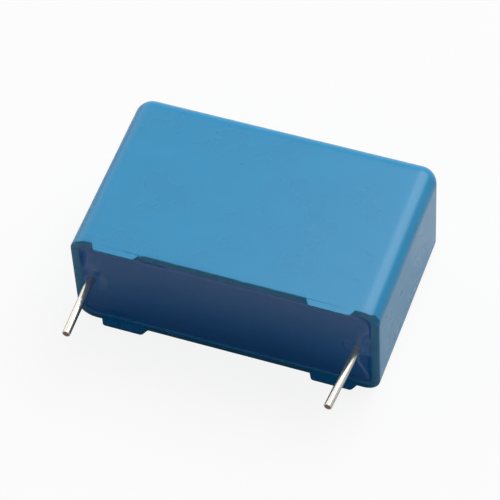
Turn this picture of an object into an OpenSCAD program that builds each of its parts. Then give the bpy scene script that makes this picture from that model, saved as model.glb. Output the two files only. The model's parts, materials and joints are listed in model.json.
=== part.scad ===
// Box film capacitor: a flattened film winding with sprayed metal ends and two wires,
// potted with resin in a moulded case. It lies on a broad face with its wires towards -Y.

/* [Case] */
// Length of the case over its end walls
case_length = 31.5; // [26:0.5:44]
// Thickness of the case over its broad faces
case_thickness = 12.2; // [8:0.1:14]
// Depth of the case from the rim of its mouth to its closed end
case_depth = 19.7; // [17:0.1:26]
// Thickness of the case's walls
case_wall = 0.85; // [0.6:0.05:1.1]
// Radius of the case's outer edges and corners
edge_radius = 1.75; // [1.3:0.05:2.4]

/* [Standoff feet] */
// Height of the feet that hold the mouth off the circuit board
foot_height = 0.7; // [0.3:0.1:1.5]
// Thickness of a foot
foot_thickness = 0.3; // [0.2:0.05:0.6]
// Length of a foot where it stands on the rim
foot_length = 4.85; // [3:0.05:6]
// How far each end of a foot slopes in towards its tip
foot_slope = 0.4; // [0:0.05:1]
// Distance from the corner's curve to the foot
foot_gap = 0.65; // [0.1:0.05:2]

/* [Wires] */
// Gap between a wire and the inside of the end wall, with the winding in the middle
end_clearance = 0.75; // [0.5:0.05:1.5]
// Diameter of a wire
wire_diameter = 0.8; // [0.6:0.05:1]
// How far the left wire reaches past the tips of the feet
left_reach = 6.2; // [4:0.1:25]
// How far the right wire reaches past the tips of the feet
right_reach = 6.6; // [4:0.1:25]
// Angle by which the left wire leans in
left_lean = 1.4; // [0:0.1:6]
// Angle by which the right wire leans in
right_lean = 4.1; // [0:0.1:6]
// Height above the rim at which a wire starts to lean
bend_rise = 0.2; // [0.2:0.1:1]
// How far a wire swells where it is bent
bend_swell = 0.02; // [0.01:0.005:0.04]
// Length of wire that is welded to the sprayed metal
weld_length = 11; // [6:0.5:13]
// How deep a wire is pressed into the sprayed metal
weld_depth = 0.15; // [0.05:0.05:0.3]

/* [Winding] */
// Gap that the resin fills between the winding and the case
winding_clearance = 0.6; // [0.3:0.05:1.2]
// Depth of the winding's near side below the rim
winding_sink = 2.6; // [1.5:0.1:4]
// How far the winding is potted off the middle of the case, along its length
winding_offset = -0.3; // [-0.3:0.05:0.3]
// Thickness of the plain film that is wrapped round the winding
cover_thickness = 0.15; // [0.05:0.05:0.4]
// Thickness of the sprayed metal on each end of the winding
spray_thickness = 0.7; // [0.4:0.05:1.2]
// Gap of the flattened core in the middle of the winding
core_gap = 0.2; // [0.1:0.05:0.5]

/* [Potting resin] */
// Depth of the resin's surface below the rim
resin_recess = 0.3; // [0.3:0.05:1.2]
// Height of the collar of resin round each wire
collar_height = 0.2; // [0.05:0.05:0.25]
// Radius of the collar at its foot
collar_radius = 1; // [0.6:0.05:1.2]

/* [Hidden] */
$fn = 64;
LEFT = -1;
RIGHT = 1;
OVER = 1; // how far a cutting shape runs past the surface that it cuts

mid_height = case_thickness / 2;
wire_radius = wire_diameter / 2;

cavity_length = case_length - 2 * case_wall;
cavity_thickness = case_thickness - 2 * case_wall;
cavity_depth = case_depth - case_wall;
cavity_radius = edge_radius - case_wall;

// Distance between the two wires where they leave the resin
wire_pitch = cavity_length - 2 * end_clearance - wire_diameter;

block_thickness = cavity_thickness - 2 * winding_clearance;
block_depth = cavity_depth - winding_clearance - winding_sink;
block_length = wire_pitch - wire_diameter + 2 * weld_depth;
film_width = block_length - 2 * spray_thickness;
weld_end = winding_sink + weld_length;

// Lowest y of a wire's tip, measured from the rim
function tip_y(reach, lean) = -foot_height - reach - wire_radius * sin(lean);
nearest_y = min(tip_y(left_reach, left_lean), tip_y(right_reach, right_lean));

// The pieces are drawn with the rim at y = 0. This brings the middle of the whole
// part, wires included, to y = 0, above the origin in the surface that it lies on.
module in_frame() {
    translate([0, -(case_depth + nearest_y) / 2, mid_height]) children();
}

// Block from y = 0 to y = depth with every edge rounded but those at y = 0
module rounded_block(length, depth, thickness, radius) {
    side_x = length / 2 - radius;
    side_z = thickness / 2 - radius;
    shoulder = depth - radius;
    translate([-side_x, 0, -side_z]) cube([2 * side_x, depth, 2 * side_z]);
    translate([-length / 2, 0, -side_z]) cube([length, shoulder, 2 * side_z]);
    translate([-side_x, 0, -thickness / 2]) cube([2 * side_x, shoulder, thickness]);
    for (x = [-side_x, side_x], z = [-side_z, side_z]) {
        translate([x, 0, z]) rotate([-90, 0, 0]) cylinder(r = radius, h = shoulder);
        translate([x, shoulder, z]) sphere(r = radius);
    }
    for (x = [-side_x, side_x])
        translate([x, shoulder, -side_z]) cylinder(r = radius, h = 2 * side_z);
    for (z = [-side_z, side_z])
        translate([-side_x, shoulder, z]) rotate([0, 90, 0])
            cylinder(r = radius, h = 2 * side_x);
}

// Foot on the rim, from its end nearer the corner towards the middle
module foot() {
    linear_extrude(foot_thickness)
        polygon([[0, 0], [foot_slope, -foot_height],
                 [foot_length - foot_slope, -foot_height], [foot_length, 0]]);
}

module feet() {
    for (face = [0, 1], end = [0, 1])
        mirror([0, 0, face]) mirror([end, 0, 0])
            translate([-case_length / 2 + edge_radius + foot_gap, 0, -case_thickness / 2])
                foot();
}

// Hollow of the case, from start_y to the inside of its closed end
module cavity(start_y) {
    translate([0, start_y, 0])
        rounded_block(cavity_length, cavity_depth - start_y, cavity_thickness, cavity_radius);
}

module case() {
    color("#4592be") {
        difference() {
            rounded_block(case_length, case_depth, case_thickness, edge_radius);
            cavity(-OVER);
        }
        feet();
    }
}

// Flattened roll, from x = 0 to x = length, as big as the winding in its cover less a margin
module flat_roll(length, margin = 0) {
    radius = block_thickness / 2 - margin;
    flat = block_depth - block_thickness;
    translate([0, winding_sink + block_thickness / 2, 0]) {
        translate([0, 0, -radius]) cube([length, flat, 2 * radius]);
        for (y = [0, flat])
            translate([0, y, 0]) rotate([0, 90, 0]) cylinder(r = radius, h = length);
    }
}

module film_winding() {
    core_margin = (block_thickness - core_gap) / 2;
    color("#d9d2c0") translate([winding_offset - film_width / 2, 0, 0])
        difference() {
            flat_roll(film_width, cover_thickness);
            translate([-OVER, 0, 0]) flat_roll(film_width + 2 * OVER, core_margin);
        }
}

module cover_film() {
    color("#e8e6d8") translate([winding_offset - film_width / 2, 0, 0])
        difference() {
            flat_roll(film_width);
            translate([-OVER, 0, 0]) flat_roll(film_width + 2 * OVER, cover_thickness);
        }
}

// Wire that leaves the resin along -Y and then leans towards the middle of the case.
// Both of its straight stretches end inside the slight swelling at the bend.
module wire(reach, lean) {
    swelling = wire_radius + bend_swell;
    stop = sqrt(pow(swelling, 2) - pow(wire_radius, 2)) / 2;
    straight = (foot_height + reach - bend_rise) / cos(lean);
    translate([0, -bend_rise, 0]) {
        sphere(r = swelling);
        rotate([-90, 0, 0]) translate([0, 0, stop])
            cylinder(r = wire_radius, h = bend_rise + weld_end - stop);
        rotate(-lean) rotate([90, 0, 0]) translate([0, 0, stop])
            cylinder(r = wire_radius, h = straight - stop);
    }
}

module lead(side) {
    color("#c4c6c2") translate([winding_offset, 0, 0])
        rotate([0, side == LEFT ? 180 : 0, 0]) translate([wire_pitch / 2, 0, 0])
            wire(side == LEFT ? left_reach : right_reach,
                 side == LEFT ? left_lean : right_lean);
}

// Bores for the buried stretch of both wires
module wire_bores() {
    for (side = [LEFT, RIGHT])
        translate([winding_offset + side * wire_pitch / 2, -OVER, 0]) rotate([-90, 0, 0])
            cylinder(r = wire_radius, h = weld_end + OVER);
}

module end_spray(side) {
    near_x = side == LEFT ? -block_length / 2 : film_width / 2;
    color("#9b9ea0") difference() {
        translate([winding_offset + near_x, 0, 0]) flat_roll(spray_thickness);
        wire_bores();
    }
}

// Collar of resin that has crept up round a wire
module collar() {
    rotate([90, 0, 0])
        cylinder(r1 = collar_radius, r2 = wire_radius + collar_height / 2, h = collar_height);
}

module potting_resin() {
    color("#182f53") difference() {
        intersection() {
            cavity(0);
            union() {
                translate([-case_length / 2, resin_recess, -case_thickness / 2])
                    cube([case_length, case_depth, case_thickness]);
                for (side = [LEFT, RIGHT])
                    translate([winding_offset + side * wire_pitch / 2, resin_recess, 0])
                        collar();
            }
        }
        translate([winding_offset - block_length / 2, 0, 0]) flat_roll(block_length);
        wire_bores();
    }
}

in_frame() case();
in_frame() potting_resin();
in_frame() film_winding();
in_frame() cover_film();
in_frame() end_spray(LEFT);  // end_spray_left
in_frame() end_spray(RIGHT);  // end_spray_right
in_frame() lead(LEFT);  // lead_left
in_frame() lead(RIGHT);  // lead_right
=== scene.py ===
import json
import math

import bmesh
import bpy
from bpy.props import FloatProperty, FloatVectorProperty, PointerProperty
from mathutils import Matrix, Vector


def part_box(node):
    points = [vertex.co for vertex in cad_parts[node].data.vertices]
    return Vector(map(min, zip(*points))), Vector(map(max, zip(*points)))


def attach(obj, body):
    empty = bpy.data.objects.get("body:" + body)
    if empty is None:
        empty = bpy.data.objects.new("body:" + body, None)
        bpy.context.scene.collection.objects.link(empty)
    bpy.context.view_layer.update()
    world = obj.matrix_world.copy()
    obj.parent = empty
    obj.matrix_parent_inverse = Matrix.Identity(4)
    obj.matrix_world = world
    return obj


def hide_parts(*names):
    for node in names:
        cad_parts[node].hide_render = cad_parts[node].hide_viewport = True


bl_info = {
    "name": "Box Film Capacitor",
    "version": (1, 0, 0),
    "blender": (4, 5, 0),
    "location": "View3D > Sidebar > Capacitor",
    "description": "Finishes a box film capacitor: moulded case, potting resin and tinned leads",
    "category": "Object",
}

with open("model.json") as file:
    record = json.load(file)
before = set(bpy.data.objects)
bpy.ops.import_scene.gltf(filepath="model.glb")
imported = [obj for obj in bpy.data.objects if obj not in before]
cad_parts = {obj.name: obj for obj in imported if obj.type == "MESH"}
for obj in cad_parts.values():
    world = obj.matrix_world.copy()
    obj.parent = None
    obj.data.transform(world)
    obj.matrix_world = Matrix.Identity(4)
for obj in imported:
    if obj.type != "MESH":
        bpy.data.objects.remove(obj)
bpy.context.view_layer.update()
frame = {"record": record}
BODY = "root"
MM = 0.001
WELD = 0.0005 * MM  # points of a new piece that lie closer than this are one point
SLIVER = 0.003 * MM  # shortest edge that is kept where one solid was cut by another
NORMAL_WEIGHT = 60  # how strongly a large face decides the shading of its corners
# Angle between two faces from which the edge between them is shaded sharp
CASE_SHARP, RESIN_SHARP, WIRE_SHARP = (math.radians(angle) for angle in (40, 60, 50))

CASE_LOW, CASE_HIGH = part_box("case")  # from the tips of the feet to the closed end
MID_Z = (CASE_LOW.z + CASE_HIGH.z) / 2
LEADS = ("lead_left", "lead_right")


# ---------------------------------------------------------------- colours

def linear(hex_colour):
    """Linear RGBA of an sRGB hex value such as "#4592be"."""
    def channel(text):
        value = int(text, 16) / 255
        return value / 12.92 if value <= 0.04045 else ((value + 0.055) / 1.055) ** 2.4
    return tuple(channel(hex_colour[i:i + 2]) for i in (1, 3, 5)) + (1.0,)


def colour_property(name, description, hex_colour):
    return FloatVectorProperty(name=name, description=description, subtype="COLOR", size=4,
                               min=0.0, max=1.0, default=linear(hex_colour))


def length_property(name, description, millimetres):
    return FloatProperty(name=name, description=description, subtype="DISTANCE",
                         unit="LENGTH", min=0.0, default=millimetres * MM)


# --------------------------------------------------------------- settings

class CaseSettings(bpy.types.PropertyGroup):
    wall: length_property("Wall", "Thickness of the case's walls", 0.85)
    edge_radius: length_property("Edge radius", "Radius of the outer edges and corners", 1.75)
    outer_round: length_property("Outer rim rounding", "Radius of the rim's outer edge", 0.08)
    inner_round: length_property("Inner rim rounding", "Radius of the rim's inner edge", 0.06)
    facet_width: length_property("Facet width", "Width of the cut on the rim's corner", 0.5)
    facet_depth: length_property("Facet depth", "Depth of the cut on the rim's corner", 0.4)
    foot_height: length_property("Foot height", "Height of a standoff foot", 0.7)
    foot_thickness: length_property("Foot thickness", "Thickness of a standoff foot", 0.3)
    foot_length: length_property("Foot length", "Length of a foot on the rim", 4.85)
    foot_slope: length_property("Foot slope", "How far a foot's ends slope in", 0.4)
    foot_gap: length_property("Foot gap", "Distance from the corner's curve to a foot", 0.65)
    crease_width: length_property("Crease width", "Width of the crease at a foot's root", 0.09)
    colour: colour_property("Plastic", "Colour of the moulded plastic", "#0e93c8")


class ResinSettings(bpy.types.PropertyGroup):
    recess: length_property("Recess", "Depth of the resin's surface below the rim", 0.3)
    crown: length_property("Crown", "How far the surface swells in the middle", 0.2)
    meniscus: length_property("Meniscus", "Height that the resin climbs the walls", 0.1)
    groove: length_property("Groove", "Depth of the shrinkage groove under the upper wall", 0.22)
    groove_inset: length_property("Groove inset", "Distance from the upper wall to the groove",
                                  0.62)
    collar: length_property("Collar", "Height that the resin climbs a lead", 0.2)
    pocket: length_property("Pocket", "Depth of the hollow below a lead's ridge", 0.2)
    colour: colour_property("Resin", "Colour of the cast resin", "#1a80d4")


class LeadSettings(bpy.types.PropertyGroup):
    diameter: length_property("Diameter", "Diameter of the wire", 0.8)
    bend_rise: length_property("Bend rise", "Height above the rim where the lead bends", 0.2)
    bend_radius: length_property("Bend radius", "Radius of the slight bend", 1.2)
    colour: colour_property("Tin", "Colour of the tinned surface", "#bfbbb0")
    core_colour: colour_property("Copper", "Colour of the cut copper core", "#8a6a5a")


class InsideSettings(bpy.types.PropertyGroup):
    film_colour: colour_property("Wound film", "Colour of the metallised film", "#c9c7c0")
    cover_colour: colour_property("Cover film", "Colour of the wrapped film", "#e8e6d8")
    spray_colour: colour_property("Sprayed zinc", "Colour of the sprayed metal", "#9b9ea0")


class StudioSettings(bpy.types.PropertyGroup):
    lens: FloatProperty(name="Lens", description="Focal length on a 36 mm sensor, in mm",
                        default=214.3, min=20.0)
    distance: length_property("Distance", "Camera's distance from the case", 294.3)
    azimuth: FloatProperty(name="Azimuth", description="Camera's turn to the right, degrees",
                           default=22.52)
    elevation: FloatProperty(name="Elevation", description="Camera's height, degrees",
                             default=51.86)
    roll: FloatProperty(name="Roll", description="Camera's roll, degrees", default=-3.84)
    floor_colour: colour_property("Floor", "Colour of the floor", "#ffffff")


# ---------------------------------------------------------------- meshes

def rim_place(case):
    """y of the rim of the case's mouth, behind the tips of its feet."""
    return CASE_LOW.y + case.foot_height


def new_piece(name, mesh_builder, material_slot, replaced=()):
    """Object made by filling a bmesh, riding on the one body."""
    mesh = bpy.data.meshes.new(name)
    piece = bpy.data.objects.new(name, mesh)
    bpy.context.scene.collection.objects.link(piece)
    bm = bmesh.new()
    mesh_builder(bm)
    bmesh.ops.remove_doubles(bm, verts=bm.verts, dist=WELD)
    bmesh.ops.recalc_face_normals(bm, faces=bm.faces)
    bm.to_mesh(mesh)
    bm.free()
    mesh.shade_smooth()
    if material_slot:
        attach(piece, BODY)
    if replaced:
        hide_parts(*replaced)
    return piece


def loft(bm, rings):
    """Quads between rings that have as many points each, with a flat cap at each end."""
    rows = [[bm.verts.new(point) for point in ring] for ring in rings]
    count = len(rows[0])
    for low, high in zip(rows, rows[1:]):
        for i in range(count):
            j = (i + 1) % count
            bm.faces.new((low[i], low[j], high[j], high[i]))
    bm.faces.new(list(reversed(rows[0])))
    bm.faces.new(rows[-1])
    return rows


def apply_boolean(piece, cutter, operation):
    """Joins the cutter to the piece or cuts it away, and deletes the cutter."""
    modifier = piece.modifiers.new("Boolean", "BOOLEAN")
    modifier.operation, modifier.solver, modifier.object = operation, "EXACT", cutter
    bpy.context.view_layer.objects.active = piece
    bpy.ops.object.modifier_apply(modifier=modifier.name)
    mesh = cutter.data
    bpy.data.objects.remove(cutter)
    bpy.data.meshes.remove(mesh)


def clean_cuts(piece):
    """Takes out the slivers that a Boolean leaves and splits its many-sided faces."""
    bm = bmesh.new()
    bm.from_mesh(piece.data)
    bmesh.ops.remove_doubles(bm, verts=bm.verts, dist=SLIVER)
    bmesh.ops.dissolve_degenerate(bm, edges=bm.edges, dist=SLIVER)
    many_sided = [face for face in bm.faces if len(face.verts) > 4]
    bmesh.ops.triangulate(bm, faces=many_sided, quad_method="BEAUTY", ngon_method="BEAUTY")
    bmesh.ops.dissolve_degenerate(bm, edges=bm.edges, dist=SLIVER)
    bm.to_mesh(piece.data)
    bm.free()


def weight_normals(piece):
    """Keeps flat faces flat next to their small roundings."""
    modifier = piece.modifiers.new("Weighted normals", "WEIGHTED_NORMAL")
    modifier.weight, modifier.keep_sharp = NORMAL_WEIGHT, True
    bpy.context.view_layer.objects.active = piece
    bpy.ops.object.modifier_apply(modifier=modifier.name)


ARC_STEPS = 12  # in a quarter turn of the case's corners and edges
RIM_STEPS = 4  # in a quarter turn of the rim's small roundings
SIDE_STEPS = (24, 90, 24, 90)  # along the right, upper, left and lower side
CORNERS = ((1, 1), (-1, 1), (-1, -1), (1, -1))  # x and z, anticlockwise
# Where the cut on the upper right corner ends, and how gently it starts and ends
FACET_END, FACET_EASE = math.radians(62), math.radians(16)
# Flash left on the rim's outer edge: x, width and height in mm, all along the upper edge
FLASH = ((-15.1, 0.22, 0.12), (-14.6, 0.16, 0.16), (-8.42, 0.2, 0.2), (2.05, 0.18, 0.16),
         (-4.6, 0.3, 0.04), (5.3, 0.3, 0.05), (10.1, 0.25, 0.04))


def smooth_step(value):
    """Rises gently from 0 to 1 while the value goes from 0 to 1."""
    share = max(0.0, min(1.0, value))
    return share * share * (3 - 2 * share)


def outline(half_length, half_thickness, radius, y, facet=(0.0, 0.0), flash=0.0):
    """Ring round a rectangle with round corners. The facet moves the upper right corner in
    and back by two lengths. The flash lifts the ring off the rim along the upper edge."""
    points = []
    for quarter, (side_x, side_z) in enumerate(CORNERS):
        centre = Vector((side_x * (half_length - radius), 0,
                         MID_Z + side_z * (half_thickness - radius)))
        for step in range(ARC_STEPS + 1):
            angle = (quarter + step / ARC_STEPS) * math.pi / 2
            cut = 0.0
            if quarter == 0:
                cut = smooth_step(min(angle, FACET_END - angle) / FACET_EASE)
            spot = centre + (radius - cut * facet[0]) * Vector((math.cos(angle), 0,
                                                                math.sin(angle)))
            spot.y = y + cut * facet[1]
            points.append(spot)
        next_x, next_z = CORNERS[(quarter + 1) % 4]
        turn = (quarter + 1) * math.pi / 2
        start = points[-1].copy()
        end = Vector((next_x * (half_length - radius), 0,
                      MID_Z + next_z * (half_thickness - radius)))
        end += radius * Vector((math.cos(turn), 0, math.sin(turn)))
        end.y = start.y = y
        sides = SIDE_STEPS[(quarter + 1) % 4]
        points.extend(start.lerp(end, step / sides) for step in range(1, sides))
    for point in points:
        if flash and point.z > MID_Z + half_thickness - radius:
            point.y -= flash * sum(height * math.exp(-((point.x / MM - x) / width) ** 2)
                                   for x, width, height in FLASH) * MM
    return points


def build_case(bm, settings):
    """Case as one skin: from the inside of its closed end, up over the rim and round."""
    half_length = (CASE_HIGH.x - CASE_LOW.x) / 2
    half_thickness = (CASE_HIGH.z - CASE_LOW.z) / 2
    rim_y = rim_place(settings)
    end_y = CASE_HIGH.y
    wall, radius = settings.wall, settings.edge_radius
    inner, outer = settings.inner_round, settings.outer_round
    inner_radius = radius - wall
    rings = []

    def add(inset, y, facet=(0.0, 0.0), flash=0.0):
        """Adds the next ring, at one distance inside the case's outer faces."""
        rings.append(outline(half_length - inset, half_thickness - inset,
                             max(radius - inset, 0.0), y, facet, flash))

    quarter_turn = [step / ARC_STEPS * math.pi / 2 for step in range(ARC_STEPS + 1)]
    for angle in quarter_turn:
        add(radius - inner_radius * math.sin(angle),
            end_y - wall - inner_radius * (1 - math.cos(angle)))
    rounding = [step / RIM_STEPS * math.pi / 2 for step in range(RIM_STEPS + 1)]
    for angle in rounding:
        add(wall - inner * (1 - math.cos(angle)), rim_y + inner * (1 - math.sin(angle)))
    for angle in reversed(rounding):
        inset, drop = outer * (1 - math.cos(angle)), outer * (1 - math.sin(angle))
        share = drop / outer
        add(inset, rim_y + drop, ((1 - share) * settings.facet_width - inset * share,
                                  share * (settings.facet_depth - drop)), math.sin(angle))
    # The cut has run out here, and the sides are straight
    add(0.0, rim_y + 2 * settings.facet_depth)
    for angle in quarter_turn:
        add(radius * (1 - math.cos(angle)), end_y - radius * (1 - math.sin(angle)))
    loft(bm, rings)


# The end of a foot is bevelled: from this share of its height to its tip, and from the one
# to the other share of its slope
BEVEL_HEIGHT, BEVEL_OUTER, BEVEL_INNER = 0.85, 0.8, 1.3


def foot_places(settings):
    """Signs of x and z for each foot, and the x of its end nearer the corner."""
    start = CASE_HIGH.x - settings.edge_radius - settings.foot_gap
    return [(side_x, side_z, start) for side_x in (-1, 1) for side_z in (-1, 1)]


def build_feet(bm, settings):
    """Four thin feet, sunk a little into the rim so that they join it."""
    rim_y = rim_place(settings)
    sunk, length = settings.wall / 2, settings.foot_length
    outer, inner = settings.foot_slope * BEVEL_OUTER, settings.foot_slope * BEVEL_INNER
    bevel_y = settings.foot_height * BEVEL_HEIGHT
    for side_x, side_z, start in foot_places(settings):
        outer_z = MID_Z + side_z * (CASE_HIGH.z - MID_Z)
        inner_z = outer_z - side_z * settings.foot_thickness
        inward = -side_x
        profile = [(0, sunk), (0, 0), (outer, -bevel_y), (inner, -settings.foot_height),
                   (length - inner, -settings.foot_height), (length - outer, -bevel_y),
                   (length, 0), (length, sunk)]
        rings = [[Vector((side_x * start + inward * along, rim_y + up, z))
                  for along, up in profile] for z in (outer_z, inner_z)]
        loft(bm, rings)


# A crease runs from the foot's inner end to this share of the foot's length before its
# outer end, narrows on the way to this share of its width, and is so many of its half
# widths deep
CREASE_START, CREASE_TAPER, CREASE_DEPTH = 0.15, 0.1, 1.6


def build_creases(bm, settings):
    """Slim wedges that cut the crease along the root of each upper foot."""
    rim_y = rim_place(settings)
    half = settings.crease_width / 2
    for side_x, side_z, start in foot_places(settings):
        if side_z < 0:
            continue
        deep_x = side_x * (start - settings.foot_length - half)
        fade_x = side_x * (start - CREASE_START * settings.foot_length)
        rings = []
        for x, size in ((deep_x, 1.0), (fade_x, CREASE_TAPER)):
            rings.append([Vector((x, rim_y - half * size, CASE_HIGH.z + half * size)),
                          Vector((x, rim_y + half * size, CASE_HIGH.z + half * size)),
                          Vector((x, rim_y, CASE_HIGH.z - CREASE_DEPTH * half * size))])
        loft(bm, rings)


def lead_axis(name):
    """Point of a lead's leaning axis in the seating plane, and the way to its tip."""
    mount = next(m for m in frame["record"]["mounts"] if m["name"] == name + "_pin")
    return Vector(mount["pos_m"]), Vector(mount["axis"]).normalized()


def lead_bend(name, settings, rim_y):
    """Where a lead's buried straight meets its leaning straight."""
    point, way = lead_axis(name)
    bend_y = rim_y - settings.bend_rise
    return point + way * ((bend_y - point.y) / way.y), way


# Small forms in the resin's surface. Places and sizes are in mm from the middle of the
# mouth, x to the right and z up the mouth. Dimples, or bumps where the depth is negative:
# x, z, half width, half height, depth
DIMPLES = ((-13.95, 2.1, 0.35, 0.3, 0.07), (14.31, 2.27, 0.13, 0.15, 0.16),
           (14.39, 1.77, 0.14, 0.14, -0.1), (14.55, -0.8, 0.2, 0.3, -0.12))
# Hollow round the left lead, deepest on the side that the arrow points to: x, z, radius,
# width of its slope, depth
HOLLOW = (-14.05, 0.0, 0.45, 1.5, 0.38)
HOLLOW_ARROW = Vector((0.7, 0.7))
# Shallow trough along the lower wall: z, width, depth. It bends up at one place: x, how
# far, half width
TROUGH = (-3.4, 1.4, 0.12)
TROUGH_BEND = (-12.2, 0.9, 1.2)
# Blister beside the right lead: x, z, half width, half height, height. Its top is tipped:
# share of the height in its middle, gain to the right, gain upwards. Its edge is steep: share
# of its size that the edge takes
BLISTER = (12.62, 0.0, 0.62, 0.95, 0.34)
BLISTER_TIP = (0.5, 0.25, 0.42)
BLISTER_EDGE = 0.25
# Pocket in the right corner: two points of the line where it starts, and how far it may
# reach to the left of the first of them
POCKET_LINE = ((13.44, -2.61), (14.88, -5.73))
POCKET_REACH = 0.1
# The pocket's upper end: z at the line's first point, climb to the right, and the distances
# over which the pocket sinks from the line and from its upper end
POCKET_TOP, POCKET_CLIMB = -1.05, 0.4
POCKET_EASE = (0.2, 0.22)
# Ridge along the pocket's upper end: height, half width and the x where it starts
RIDGE = (0.12, 0.13, 13.3)
# Step in the groove below the left foot: where it starts and ends, and its width
NOTCH = (-8.6, -5.9, 0.2)
FORM_EASE = 0.3  # how far the notch and the ridge take to start

# The groove under the upper wall: corner radius of its path, its half width and its distance
# from the end walls
GROOVE_CORNER, GROOVE_WIDTH, GROOVE_SIDE = 1.5 * MM, 0.27 * MM, 0.3 * MM
# z in mm where the groove starts, and the height over which it gets its full depth
GROOVE_START, GROOVE_FADE = 0.6, 2
GROOVE_LIP = 1.7  # how far the surface climbs from the groove to the wall, in its depths
# How far from the walls the small forms fade, and how far the resin that climbs the walls and
# the leads reaches from them
WALL_FADE, MENISCUS_REACH, COLLAR_REACH = 0.4 * MM, 0.25 * MM, 0.15 * MM
HIGHEST = 0.02 * MM  # least depth of the surface below the rim

# Spacing of the surface's points along its length, in the zone at each end and between the
# zones, and how long such a zone is
FINE, COARSE, END_ZONE = 0.07 * MM, 0.2 * MM, 3.6 * MM
ROW_STEPS = 130  # from the surface's lowest row of points to its highest
FLOOR_STEPS = 6  # in the rounding round the casting's floor


def bell(distance):
    """1 at no distance, and next to nothing from twice the half width."""
    return math.exp(-distance ** 2)


def resin_relief(x, z):
    """Depth in mm of the small forms at one place, the pocket's share of its full depth,
    and how far the place lies below the pocket's upper end. x and z are in mm."""
    deep = 0.0
    for centre_x, centre_z, wide, high, depth in DIMPLES:
        deep += depth * bell(math.hypot((x - centre_x) / wide, (z - centre_z) / high))
    centre_x, centre_z, radius, width, depth = HOLLOW
    away = Vector((x - centre_x, z - centre_z))
    facing = 0.5 + 0.5 * away.dot(HOLLOW_ARROW) / max(away.length, 0.01)
    deep += depth * facing * (1 - smooth_step((away.length - radius) / width))
    centre_z, width, depth = TROUGH
    bend_x, rise, half_width = TROUGH_BEND
    centre_z += rise * bell((x - bend_x) / half_width)
    deep += depth * bell((z - centre_z) / width)
    centre_x, centre_z, wide, high, height = BLISTER
    along, across = (x - centre_x) / wide, (z - centre_z) / high
    inside = smooth_step((1 - math.hypot(along, across)) / BLISTER_EDGE)
    middle, rightwards, upwards = BLISTER_TIP
    deep -= height * inside * (middle + rightwards * along + upwards * across)
    (start_x, start_z), (end_x, end_z) = POCKET_LINE
    line = Vector((end_x - start_x, end_z - start_z)).normalized()
    past = (x - start_x) * -line.y + (z - start_z) * line.x
    past = min(past, x - start_x + POCKET_REACH)
    below = POCKET_TOP + POCKET_CLIMB * (x - start_x) - z
    from_line, from_top = POCKET_EASE
    return deep, smooth_step(past / from_line) * smooth_step(below / from_top), below


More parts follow.
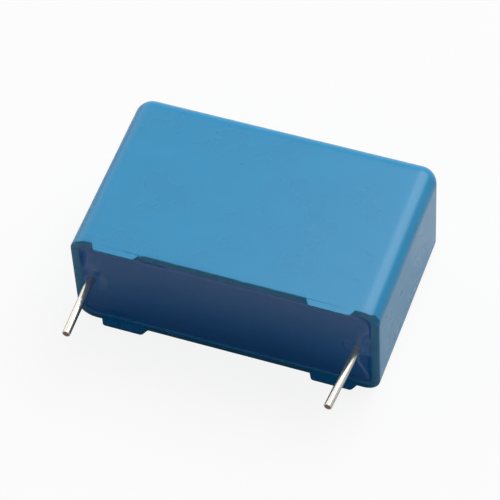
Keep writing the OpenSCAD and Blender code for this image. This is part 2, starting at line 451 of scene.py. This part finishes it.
def build_resin(bm, settings, case, leads):
    """Casting that fills the case, with its surface drawn up at the walls and leads."""
    rim_y = rim_place(case)
    half_length = (CASE_HIGH.x - CASE_LOW.x) / 2 - case.wall
    half_thickness = (CASE_HIGH.z - CASE_LOW.z) / 2 - case.wall
    corner = case.edge_radius - case.wall
    wires = [lead_bend(name, leads, rim_y)[0] for name in LEADS]

    def reach_at(z):
        """Half the surface's length at one height."""
        past = abs(z) - (half_thickness - corner)
        return half_length - (corner - math.sqrt(max(corner**2 - past**2, 0.0)) if past > 0
                              else 0.0)

    def rounded_distance(x, z, side, top, radius):
        """Distance outside a rectangle with round corners, negative inside it."""
        dx, dz = abs(x) - (side - radius), z - (top - radius)
        if dx > 0 and dz > 0:
            return math.hypot(dx, dz) - radius
        return max(dx, dz) - radius

    def level(x, z):
        """How far the surface lies below the rim at one place."""
        edge = max(-rounded_distance(x, abs(z), half_length, half_thickness, corner), 0.0)
        walls = 1 - math.exp(-edge / WALL_FADE)
        inset = settings.groove_inset
        start, end, width = NOTCH
        inset += (width * MM * smooth_step((x / MM - start) / FORM_EASE)
                  * smooth_step((end - x / MM) / FORM_EASE))
        past = rounded_distance(x, z, half_length - GROOVE_SIDE, half_thickness - inset,
                                GROOVE_CORNER)
        upper = smooth_step((z / MM - GROOVE_START) / GROOVE_FADE)
        if past < 0:
            groove = settings.groove * bell(past / GROOVE_WIDTH)
        else:
            share = past / (past + edge) if past + edge > 0 else 1.0
            groove = settings.groove * (1 - GROOVE_LIP * share)
        deep = settings.recess + upper * groove
        deep -= settings.crown * (1 - (z / half_thickness) ** 2)
        deep -= (1 - upper) * settings.meniscus * math.exp(-edge / MENISCUS_REACH)
        for wire in wires:
            from_wire = max(math.hypot(x - wire.x, z - (wire.z - MID_Z)) - leads.diameter / 2,
                            0.0)
            deep -= settings.collar * math.exp(-from_wire / COLLAR_REACH)
        small, pocket, below = resin_relief(x / MM, z / MM)
        deep += small * walls * MM
        deep += settings.pocket * pocket * walls
        if x > 0:
            height, width, start = RIDGE
            reach = smooth_step((x / MM - start) / FORM_EASE)
            deep -= height * MM * reach * bell(below / width) * walls
        return max(deep, HIGHEST)

    columns = []
    x = -half_length
    while x < half_length - FINE / 2:
        columns.append(x / half_length)
        x += FINE if abs(x) > half_length - END_ZONE else COARSE
    columns.append(1.0)
    # Rows halfway between evenly spaced and crowded at both walls
    heights = [-half_thickness * math.cos(math.pi * row / ROW_STEPS) for row in
               range(ROW_STEPS + 1)]
    heights = [0.5 * h + 0.5 * half_thickness * (2 * row / ROW_STEPS - 1)
               for row, h in enumerate(heights)]
    grid = []
    for z in heights:
        reach = reach_at(z)
        grid.append([bm.verts.new((s * reach, rim_y + level(s * reach, z), MID_Z + z))
                     for s in columns])
    for low, high in zip(grid, grid[1:]):
        for i in range(len(columns) - 1):
            bm.faces.new((low[i], low[i + 1], high[i + 1], high[i]))
    border = (grid[0] + [row[-1] for row in grid[1:-1]]
              + list(reversed(grid[-1])) + [row[0] for row in reversed(grid[1:-1])])
    previous = border
    floor_y = CASE_HIGH.y - case.wall
    for step in range(FLOOR_STEPS + 1):
        angle = step / FLOOR_STEPS * math.pi / 2
        inset, y = corner * (1 - math.cos(angle)), floor_y - corner * (1 - math.sin(angle))
        ring = []
        for vertex in border:
            x, z = vertex.co.x, vertex.co.z - MID_Z
            core_x = max(-half_length + corner, min(half_length - corner, x))
            core_z = max(-half_thickness + corner, min(half_thickness - corner, z))
            share = (corner - inset) / corner
            ring.append(bm.verts.new((core_x + (x - core_x) * share, y,
                                      MID_Z + core_z + (z - core_z) * share)))
        for i in range(len(ring)):
            j = (i + 1) % len(ring)
            bm.faces.new((previous[i], previous[j], ring[j], ring[i]))
        previous = ring
    bm.faces.new(previous)


WIRE_SIDES = 40
BEND_STEPS = 8
CUT_ROUNDING = 0.04 * MM  # radius of the edge that the cutter leaves round a wire's tip
# Rings that shape the sheared tip: distance before the tip in roundings, share of the wire's
# radius, and roundings less than that
TIP_RINGS = ((1.5, 1.0, 0.0), (0.5, 1.0, 0.3), (0.0, 1.0, 1.0), (0.3, 0.82, 0.0),
             (0.2, 0.4, 0.0))
# Turned by half a step, so that no corner of a wire's section lies level with its axis
WIRE_TURNS = [2 * math.pi * (side + 0.5) / WIRE_SIDES for side in range(WIRE_SIDES)]


def build_winding_space(bm):
    """Space that the winding and its sprayed ends take up inside the casting."""
    low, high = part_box("end_spray_left")[0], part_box("end_spray_right")[1]
    radius, middle = (high.z - low.z) / 2, (high.z + low.z) / 2
    profile = []
    for centre_y, start in ((high.y - radius, -90), (low.y + radius, 90)):
        for step in range(WIRE_SIDES + 1):
            angle = math.radians(start + 180 * step / WIRE_SIDES)
            profile.append((centre_y + radius * math.cos(angle),
                            middle + radius * math.sin(angle)))
    loft(bm, [[Vector((x, y, z)) for y, z in profile] for x in (low.x, high.x)])


def build_bore(bm, name, settings, rim_y):
    """Space that a lead takes up inside the casting, from above its surface."""
    bend = lead_bend(name, settings, rim_y)[0]
    rings = []
    for y in (rim_y - settings.bend_rise / 2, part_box(name)[1].y):
        rings.append([Vector((bend.x, y, bend.z)) + settings.diameter / 2 * Vector(
            (math.cos(turn), 0, math.sin(turn))) for turn in WIRE_TURNS])
    loft(bm, rings)


def build_lead(bm, name, settings, rim_y):
    """Wire from its weld, through a slight bend, to its sheared tip."""
    low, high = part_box(name)
    bend, way = lead_bend(name, settings, rim_y)
    radius = settings.diameter / 2
    back = Vector((0, 1, 0))
    lean = back.angle(-way)
    setback = settings.bend_radius * math.tan(lean / 2)
    bend_start, bend_end = bend + back * setback, bend + way * setback
    # Each entry is a point of the axis, the way along it and the wire's radius there
    centre_line = [(Vector((bend.x, high.y, bend.z)), back, radius)]
    for step in range(BEND_STEPS + 1):
        share = step / BEND_STEPS
        tangent = back.slerp(-way, share)
        spot = bend_start.lerp(bend, share).lerp(bend.lerp(bend_end, share), share)
        centre_line.append((spot, tangent, radius))
    # The lean lowers one side of the cut below the axis
    length = (bend.y - low.y - radius * math.sin(lean)) / -way.y
    for before, share, less in TIP_RINGS:
        centre_line.append((bend + way * (length - before * CUT_ROUNDING), -way,
                            share * radius - less * CUT_ROUNDING))
    rings = []
    for spot, tangent, size in centre_line:
        up = Vector((0, 0, 1))
        side = tangent.cross(up).normalized()
        rings.append([spot + size * (math.cos(turn) * side + math.sin(turn) * up)
                      for turn in WIRE_TURNS])
    rows = loft(bm, rings)
    core = {vertex for row in rows[-2:] for vertex in row}
    for face in bm.faces:
        if all(vertex in core for vertex in face.verts):
            face.material_index = 1


# ------------------------------------------------------------- materials

def add_node(tree, kind, links=None, **values):
    """Adds one node. values set its properties or, by name, its inputs; links maps an
    input's name or number to the output socket that feeds it."""
    node = tree.nodes.new(kind)
    for key, value in values.items():
        if hasattr(node, key):
            setattr(node, key, value)
        else:
            node.inputs[key.replace("_", " ")].default_value = value
    for key, source in (links or {}).items():
        tree.links.new(source, node.inputs[key])
    return node


def new_material(name, **values):
    """Material with its tree, its Principled shader, whose uniform inputs are the values,
    and the socket that gives the place on the object."""
    material = bpy.data.materials.new(name)
    material.use_nodes = True
    tree = material.node_tree
    tree.nodes.clear()
    shader = add_node(tree, "ShaderNodeBsdfPrincipled", **values)
    output = add_node(tree, "ShaderNodeOutputMaterial")
    tree.links.new(shader.outputs["BSDF"], output.inputs["Surface"])
    place = add_node(tree, "ShaderNodeTexCoord").outputs["Object"]
    return material, tree, shader, place


def per_metre(millimetres):
    """Scale of a pattern whose grain is so many millimetres."""
    return 1 / (millimetres * MM)


def moulded_plastic(colour):
    """Polyester moulding compound, injection moulded in a finely eroded mould: an even,
    slightly cloudy colour under a satin gloss. A real mould's grain is too fine to show
    and is drawn 0.12 mm wide."""
    material, tree, shader, place = new_material("pbt_moulded", IOR=1.45)
    cloud = add_node(tree, "ShaderNodeTexNoise", {"Vector": place}, Scale=per_metre(4),
                     Detail=3.0)
    grain = add_node(tree, "ShaderNodeTexNoise", {"Vector": place}, Scale=per_metre(0.12),
                     Detail=2.0)
    tint = add_node(tree, "ShaderNodeValToRGB", {"Fac": cloud.outputs["Fac"]})
    ramp = tint.color_ramp.elements
    ramp[0].position, ramp[1].position = 0.3, 0.7
    ramp[0].color = [0.97 * c for c in colour[:3]] + [1]
    ramp[1].color = [1.03 * c for c in colour[:3]] + [1]
    tree.links.new(tint.outputs["Color"], shader.inputs["Base Color"])
    gloss = add_node(tree, "ShaderNodeMapRange", {"Value": cloud.outputs["Fac"]},
                     To_Min=0.24, To_Max=0.32)
    tree.links.new(gloss.outputs["Result"], shader.inputs["Roughness"])
    relief = add_node(tree, "ShaderNodeBump", {"Height": grain.outputs["Fac"]},
                      Strength=0.15, Distance=0.01 * MM)
    tree.links.new(relief.outputs["Normal"], shader.inputs["Normal"])
    return material


def cast_resin(colour):
    """Casting resin that set in the open case: a deep even blue under a wet gloss, with
    the slow ripples of a poured surface."""
    material, tree, shader, place = new_material("epoxy_cast",
                                                 Base_Color=colour, Roughness=0.13, IOR=1.5)
    ripple = add_node(tree, "ShaderNodeTexNoise", {"Vector": place}, Scale=per_metre(3),
                      Detail=1.0)
    relief = add_node(tree, "ShaderNodeBump", {"Height": ripple.outputs["Fac"]},
                      Strength=0.3, Distance=0.05 * MM)
    tree.links.new(relief.outputs["Normal"], shader.inputs["Normal"])
    return material


def tinned_wire(colour):
    """Copper wire, drawn and hot-dip tinned: a bright, slightly warm metal with faint
    lengthwise drawing lines. Real ones are too fine to show and are drawn 0.1 mm wide."""
    material, tree, shader, place = new_material("tinned_copper_drawn",
                                                 Base_Color=colour, Metallic=1.0)
    stretch = add_node(tree, "ShaderNodeMapping", {"Vector": place}, Scale=(1, 0.06, 1))
    lines = add_node(tree, "ShaderNodeTexNoise", {"Vector": stretch.outputs["Vector"]},
                     Scale=per_metre(0.1), Detail=3.0)
    gloss = add_node(tree, "ShaderNodeMapRange", {"Value": lines.outputs["Fac"]},
                     To_Min=0.18, To_Max=0.28)
    tree.links.new(gloss.outputs["Result"], shader.inputs["Roughness"])
    relief = add_node(tree, "ShaderNodeBump", {"Height": lines.outputs["Fac"]},
                      Strength=0.1, Distance=0.006 * MM)
    tree.links.new(relief.outputs["Normal"], shader.inputs["Normal"])
    return material


def sheared_copper(colour):
    """Copper core, sheared by the cutter: dull brown metal with torn grain."""
    material, tree, shader, place = new_material("copper_sheared",
                                                 Base_Color=colour, Metallic=0.8, Roughness=0.5)
    tear = add_node(tree, "ShaderNodeTexNoise", {"Vector": place}, Scale=per_metre(0.15),
                    Detail=3.0)
    relief = add_node(tree, "ShaderNodeBump", {"Height": tear.outputs["Fac"]},
                      Strength=0.6, Distance=0.03 * MM)
    tree.links.new(relief.outputs["Normal"], shader.inputs["Normal"])
    return material


def wound_film(colour):
    """Metallised polypropylene film, wound and pressed flat: a bright grey, lined by the
    edges of its turns. Real turns are some 0.006 mm thick and are drawn 0.12 mm thick."""
    material, tree, shader, place = new_material("metallised_polypropylene_wound",
                                                 Base_Color=colour, Metallic=0.5, Roughness=0.35)
    stretch = add_node(tree, "ShaderNodeMapping", {"Vector": place}, Scale=(0.02, 1, 1))
    turns = add_node(tree, "ShaderNodeTexNoise", {"Vector": stretch.outputs["Vector"]},
                     Scale=per_metre(0.12), Detail=1.0)
    relief = add_node(tree, "ShaderNodeBump", {"Height": turns.outputs["Fac"]},
                      Strength=0.3, Distance=0.02 * MM)
    tree.links.new(relief.outputs["Normal"], shader.inputs["Normal"])
    return material


def wrapped_film(colour):
    """Plain polypropylene film, wrapped tight: a milky cream with a smooth gloss and slight
    creases."""
    material, tree, shader, place = new_material("polypropylene_film_wrapped",
                                                 Base_Color=colour, Roughness=0.22)
    crease = add_node(tree, "ShaderNodeTexNoise", {"Vector": place}, Scale=per_metre(2.5),
                      Detail=2.0)
    relief = add_node(tree, "ShaderNodeBump", {"Height": crease.outputs["Fac"]},
                      Strength=0.3, Distance=0.05 * MM)
    tree.links.new(relief.outputs["Normal"], shader.inputs["Normal"])
    return material


def sprayed_zinc(colour):
    """Zinc, arc sprayed on the ends of the turns: a matt grey metal of rough splats. The
    splats are drawn 0.15 mm wide, coarser than most real ones, so that they show."""
    material, tree, shader, place = new_material("zinc_arc_sprayed",
                                                 Base_Color=colour, Metallic=1.0, Roughness=0.55)
    splats = add_node(tree, "ShaderNodeTexVoronoi", {"Vector": place}, Scale=per_metre(0.15))
    relief = add_node(tree, "ShaderNodeBump", {"Height": splats.outputs["Distance"]},
                      Strength=0.7, Distance=0.04 * MM)
    tree.links.new(relief.outputs["Normal"], shader.inputs["Normal"])
    return material


# ------------------------------------------------------------- operators

class CAPACITOR_OT_case(bpy.types.Operator):
    """Makes the moulded case with its feet"""
    bl_idname = "film_capacitor.case"
    bl_label = "Case"

    def execute(self, context):
        settings = context.scene.capacitor_case
        case = new_piece("case_moulding", lambda bm: build_case(bm, settings),
                         "case_plastic", ["case"])
        feet = new_piece("feet_tool", lambda bm: build_feet(bm, settings), None)
        apply_boolean(case, feet, "UNION")
        creases = new_piece("crease_tool", lambda bm: build_creases(bm, settings), None)
        apply_boolean(case, creases, "DIFFERENCE")
        clean_cuts(case)
        case.data.shade_smooth()
        case.data.set_sharp_from_angle(angle=CASE_SHARP)
        weight_normals(case)
        case.data.materials.append(moulded_plastic(settings.colour))
        return {"FINISHED"}


class CAPACITOR_OT_resin(bpy.types.Operator):
    """Makes the casting of resin that fills the case"""
    bl_idname = "film_capacitor.resin"
    bl_label = "Potting resin"

    def execute(self, context):
        scene = context.scene
        resin = new_piece("resin_casting",
                          lambda bm: build_resin(bm, scene.capacitor_resin,
                                                 scene.capacitor_case, scene.capacitor_leads),
                          "potting_resin", ["potting_resin"])
        rim_y = rim_place(scene.capacitor_case)
        apply_boolean(resin, new_piece("winding_tool", build_winding_space, None),
                      "DIFFERENCE")
        for name in LEADS:
            bore = new_piece("bore_tool",
                             lambda bm, name=name: build_bore(bm, name, scene.capacitor_leads,
                                                              rim_y), None)
            apply_boolean(resin, bore, "DIFFERENCE")
        clean_cuts(resin)
        resin.data.shade_smooth()
        resin.data.set_sharp_from_angle(angle=RESIN_SHARP)
        resin.data.materials.append(cast_resin(scene.capacitor_resin.colour))
        return {"FINISHED"}


class CAPACITOR_OT_leads(bpy.types.Operator):
    """Makes the two tinned leads"""
    bl_idname = "film_capacitor.leads"
    bl_label = "Leads"

    def execute(self, context):
        settings = context.scene.capacitor_leads
        rim_y = rim_place(context.scene.capacitor_case)
        tin = tinned_wire(settings.colour)
        copper = sheared_copper(settings.core_colour)
        for name in LEADS:
            wire = new_piece(name + "_wire",
                             lambda bm, name=name: build_lead(bm, name, settings, rim_y),
                             "tinned_wire", [name])
            wire.data.set_sharp_from_angle(angle=WIRE_SHARP)
            wire.data.materials.append(tin)
            wire.data.materials.append(copper)
        return {"FINISHED"}


class CAPACITOR_OT_inside(bpy.types.Operator):
    """Gives the winding, its cover and its sprayed ends their materials"""
    bl_idname = "film_capacitor.inside"
    bl_label = "Inside"

    def execute(self, context):
        settings = context.scene.capacitor_inside
        zinc = sprayed_zinc(settings.spray_colour)
        looks = {"film_winding": wound_film(settings.film_colour),
                 "cover_film": wrapped_film(settings.cover_colour),
                 "end_spray_left": zinc, "end_spray_right": zinc}
        for name, material in looks.items():
            materials = bpy.data.objects[name].data.materials
            materials.clear()
            materials.append(material)
        return {"FINISHED"}


class CAPACITOR_OT_stage(bpy.types.Operator):
    """Makes the floor, the lamps, the world and the camera"""
    bl_idname = "film_capacitor.stage"
    bl_label = "Stage"

    def execute(self, context):
        settings = context.scene.capacitor_studio
        make_floor(settings)
        make_world(context.scene)
        make_lamps()
        make_camera(context, settings)
        context.scene.view_settings.view_transform = "Standard"
        return {"FINISHED"}


def seen_directly(tree):
    """1 for rays from the camera, off gloss or through glass, and 0 for diffuse light."""
    path = add_node(tree, "ShaderNodeLightPath")
    shown = add_node(tree, "ShaderNodeMath",
                     {0: path.outputs["Is Camera Ray"], 1: path.outputs["Is Glossy Ray"]},
                     operation="MAXIMUM")
    return add_node(tree, "ShaderNodeMath",
                    {0: shown.outputs[0], 1: path.outputs["Is Transmission Ray"]},
                    operation="MAXIMUM").outputs[0]


FLOOR_SIZE = 3
FLOOR_BOUNCE = (0.4, 0.4, 0.4, 1)  # what the floor gives back to diffuse light
FLOOR_GLOW = 0.88  # share of the seen floor that is plain white, the rest holds the shadow
WORLD_FILL = 0.02  # strength of the world for diffuse light
LAMP_DISTANCE = 0.8  # in metres, from the middle of the object
# Name, azimuth and elevation in degrees, width and height in metres, power in watts
LAMPS = (("key", 29, 53, 0.78, 0.7, 6.2),
         ("back", -62, 32, 0.8, 0.8, 1.9),
         ("front", 180, 35, 0.8, 0.8, 0.3))
# How far the camera aims to the left of the case's middle and below it
AIM_LEFT, AIM_DOWN = 0.861 * MM, 1.106 * MM
SENSOR_WIDTH = 36  # in mm, as the lens setting says
NEAR_CLIP, FAR_CLIP = 0.01, 20


def make_floor(settings):
    """Plain pale floor that keeps the object's shadow and throws little light back up."""
    bpy.ops.mesh.primitive_plane_add(size=FLOOR_SIZE, location=(0, 0, 0))
    floor = bpy.context.object
    floor.name = "floor"
    material = bpy.data.materials.new("floor_paper")
    material.use_nodes = True
    tree = material.node_tree
    tree.nodes.clear()
    shown = seen_directly(tree)
    # A Mix node's sockets 6 and 7 are its two colours
    tone = add_node(tree, "ShaderNodeMix", {0: shown}, data_type="RGBA")
    tone.inputs[6].default_value = FLOOR_BOUNCE
    tone.inputs[7].default_value = settings.floor_colour
    paper = add_node(tree, "ShaderNodeBsdfDiffuse", {"Color": tone.outputs[2]})
    glow = add_node(tree, "ShaderNodeEmission", {"Color": tone.outputs[2]}, Strength=1.0)
    path = add_node(tree, "ShaderNodeLightPath")
    share = add_node(tree, "ShaderNodeMath", {0: path.outputs["Is Camera Ray"]},
                     operation="MULTIPLY")
    share.inputs[1].default_value = FLOOR_GLOW
    mixed = add_node(tree, "ShaderNodeMixShader",
                     {0: share.outputs[0], 1: paper.outputs[0], 2: glow.outputs[0]})
    output = add_node(tree, "ShaderNodeOutputMaterial")
    tree.links.new(mixed.outputs[0], output.inputs["Surface"])
    floor.data.materials.append(material)


def make_world(scene):
    """White where it is seen, and a dim even fill for diffuse light."""
    world = bpy.data.worlds.new("studio")
    scene.world = world
    world.use_nodes = True
    tree = world.node_tree
    tree.nodes.clear()
    strength = add_node(tree, "ShaderNodeMapRange", {"Value": seen_directly(tree)},
                        To_Min=WORLD_FILL, To_Max=1.0)
    background = add_node(tree, "ShaderNodeBackground",
                          {"Strength": strength.outputs["Result"]}, Color=(1, 1, 1, 1))
    output = add_node(tree, "ShaderNodeOutputWorld")
    tree.links.new(background.outputs[0], output.inputs["Surface"])


def add_lamp(name, azimuth, elevation, width, height, power):
    """Soft box that faces the object. Azimuth is in degrees from +Y towards +X."""
    light = bpy.data.lights.new(name, "AREA")
    light.shape, light.size, light.size_y, light.energy = "RECTANGLE", width, height, power
    lamp = bpy.data.objects.new(name, light)
    bpy.context.scene.collection.objects.link(lamp)
    turn, rise = math.radians(azimuth), math.radians(elevation)
    towards = Vector((math.sin(turn) * math.cos(rise), math.cos(turn) * math.cos(rise),
                      math.sin(rise)))
    lamp.location = Vector((0, 0, MID_Z)) + towards * LAMP_DISTANCE
    lamp.rotation_mode = "QUATERNION"
    lamp.rotation_quaternion = towards.to_track_quat("Z", "Y")


def make_lamps():
    """The soft boxes that light the object."""
    for lamp in LAMPS:
        add_lamp(*lamp)


def make_camera(context, settings):
    """Long lens from the front right, above the leads."""
    azimuth, elevation, roll = (math.radians(v) for v in
                                (settings.azimuth, settings.elevation, settings.roll))
    back = Vector((math.sin(azimuth) * math.cos(elevation),
                   -math.cos(azimuth) * math.cos(elevation), math.sin(elevation)))
    level = Vector((math.cos(azimuth), math.sin(azimuth), 0))
    up = back.cross(level)
    right = math.cos(roll) * level + math.sin(roll) * up
    up = back.cross(right)
    rim_y = rim_place(context.scene.capacitor_case)
    middle = Vector((0, (rim_y + CASE_HIGH.y) / 2, MID_Z))
    aim = middle - AIM_LEFT * right - AIM_DOWN * up
    data = bpy.data.cameras.new("camera")
    data.lens, data.sensor_width = settings.lens, SENSOR_WIDTH
    data.clip_start, data.clip_end = NEAR_CLIP, FAR_CLIP
    camera = bpy.data.objects.new("camera", data)
    context.scene.collection.objects.link(camera)
    turn = Matrix((right, up, back)).transposed().to_4x4()
    camera.matrix_world = Matrix.Translation(aim + back * settings.distance) @ turn
    context.scene.camera = camera


class VIEW3D_PT_film_capacitor(bpy.types.Panel):
    bl_label = "Box Film Capacitor"
    bl_space_type = "VIEW_3D"
    bl_region_type = "UI"
    bl_category = "Capacitor"

    def draw(self, context):
        for operator in OPERATORS:
            self.layout.operator(operator.bl_idname)


OPERATORS = (CAPACITOR_OT_case, CAPACITOR_OT_resin, CAPACITOR_OT_leads,
             CAPACITOR_OT_inside, CAPACITOR_OT_stage)
SETTINGS = {"capacitor_case": CaseSettings, "capacitor_resin": ResinSettings,
            "capacitor_leads": LeadSettings, "capacitor_inside": InsideSettings,
            "capacitor_studio": StudioSettings}


def register():
    for group in SETTINGS.values():
        bpy.utils.register_class(group)
    for name, group in SETTINGS.items():
        setattr(bpy.types.Scene, name, PointerProperty(type=group))
    for operator in OPERATORS:
        bpy.utils.register_class(operator)
    bpy.utils.register_class(VIEW3D_PT_film_capacitor)


def unregister():
    bpy.utils.unregister_class(VIEW3D_PT_film_capacitor)
    for operator in reversed(OPERATORS):
        bpy.utils.unregister_class(operator)
    for name, group in reversed(SETTINGS.items()):
        delattr(bpy.types.Scene, name)
        bpy.utils.unregister_class(group)


def main():
    register()
    bpy.ops.film_capacitor.case()
    bpy.ops.film_capacitor.resin()
    bpy.ops.film_capacitor.leads()
    bpy.ops.film_capacitor.inside()
    bpy.ops.film_capacitor.stage()


if __name__ == "__main__":
    main()
